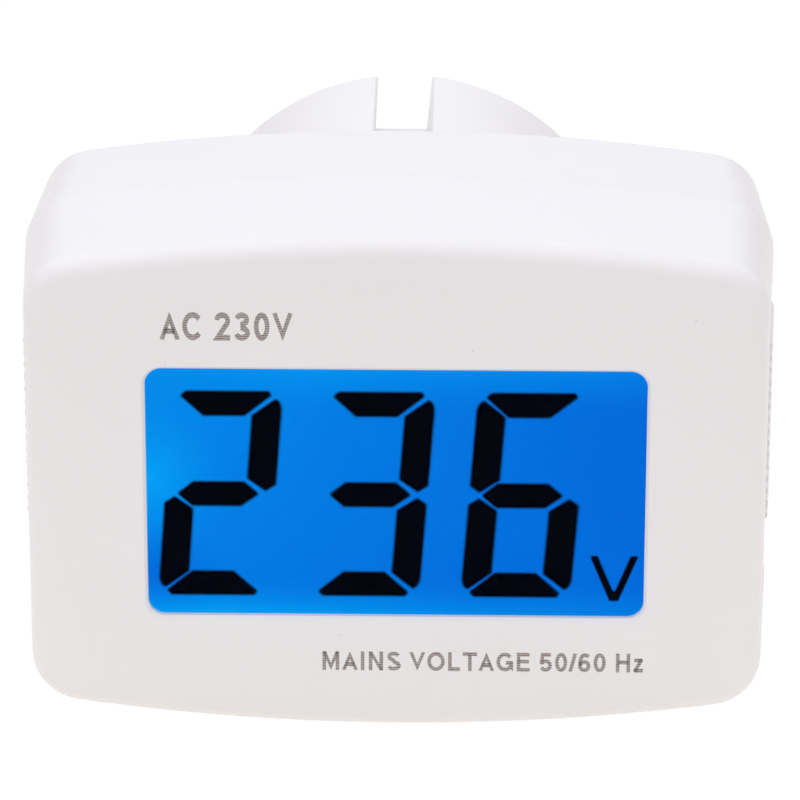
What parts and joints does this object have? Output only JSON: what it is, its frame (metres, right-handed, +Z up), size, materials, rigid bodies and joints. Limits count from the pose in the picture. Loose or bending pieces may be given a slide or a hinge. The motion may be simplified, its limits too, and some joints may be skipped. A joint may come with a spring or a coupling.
{
  "type": "plug-in mains voltmeter",
  "caption": "Plug-in mains voltage tester: barrel-sided white case with a blue-lit digit display and a slotted round plug boss with contact pins.",
  "frame": {"origin": "centre of the plug boss's end face, on the plug axis", "axes": "+Y along the plug axis towards the pin tips, +Z up as the display reads, +X to the viewer's right when facing the display"},
  "size_m": [0.062, 0.0656, 0.0434],
  "materials": {
    "case_white": "moulded ABS, fine satin",
    "case_white_rear": "moulded ABS, fine satin",
    "plug_white": "moulded plastic, satin",
    "pin_nickel": "nickel-plated brass, satin",
    "zinc_hardware": "zinc-plated steel",
    "tinned_brass": "tinned, dull",
    "wire_brown": "PVC insulation",
    "wire_blue": "PVC insulation",
    "frame_plastic": "moulded, satin",
    "polarizer_film": "clear film",
    "lcd_glass": "polished",
    "segment_dark": "dark layer",
    "diffuser_blue": "milky film",
    "backlight_blue": "lit acrylic",
    "reflector_white": "white film",
    "led_clear": "clear epoxy",
    "zebra_rubber": "striped elastomer",
    "board_green": "solder mask",
    "chip_black": "moulded epoxy",
    "chip_ceramic": "matte",
    "capacitor_yellow": "moulded box",
    "capacitor_sleeve": "shrink sleeve",
    "diode_glass": "glass bead",
    "resistor_green": "cement coating",
    "resistor_blue": "lacquer",
    "trimmer_blue": "moulded",
    "rotor_cream": "moulded"
  },
  "bodies": {
    "case": {"front_cover": "case_white", "rear_cover": "case_white_rear", "plug_base": "plug_white", "left_pin": "pin_nickel", "right_pin": "pin_nickel", "pin_nuts": "zinc_hardware", "pin_tags": "tinned_brass", "live_wire": "wire_brown", "neutral_wire": "wire_blue", "case_screws": "zinc_hardware", "plug_base_screws": "zinc_hardware", "display_frame": "frame_plastic", "front_polarizer": "polarizer_film", "lcd_front_glass": "lcd_glass", "lcd_segments": "segment_dark", "lcd_rear_glass": "lcd_glass", "rear_polarizer": "polarizer_film", "diffuser_film": "diffuser_blue", "light_guide": "backlight_blue", "reflector_sheet": "reflector_white", "backlight_leds": "led_clear", "zebra_strip": "zebra_rubber", "circuit_board": "board_green", "board_screws": "zinc_hardware", "meter_chip": "chip_black", "chip_leads": "tinned_brass", "chip_capacitors": "chip_ceramic", "dropper_capacitor": "capacitor_yellow", "smoothing_capacitor": "capacitor_sleeve", "bridge_rectifier": "chip_black", "zener_diode": "diode_glass", "fusible_resistor": "resistor_green", "divider_resistors": "resistor_blue", "trimmer_body": "trimmer_blue"},
    "trimmer": {"trimmer_rotor": "rotor_cream"}
  },
  "joints": [
    {"name": "trimmer_turn", "type": "hinge", "parent": "case", "child": "trimmer", "pos_m": [0.0165, -0.035, 0.0034], "axis": [0, 1, 0], "range_deg": [-130, 130]}
  ]
}
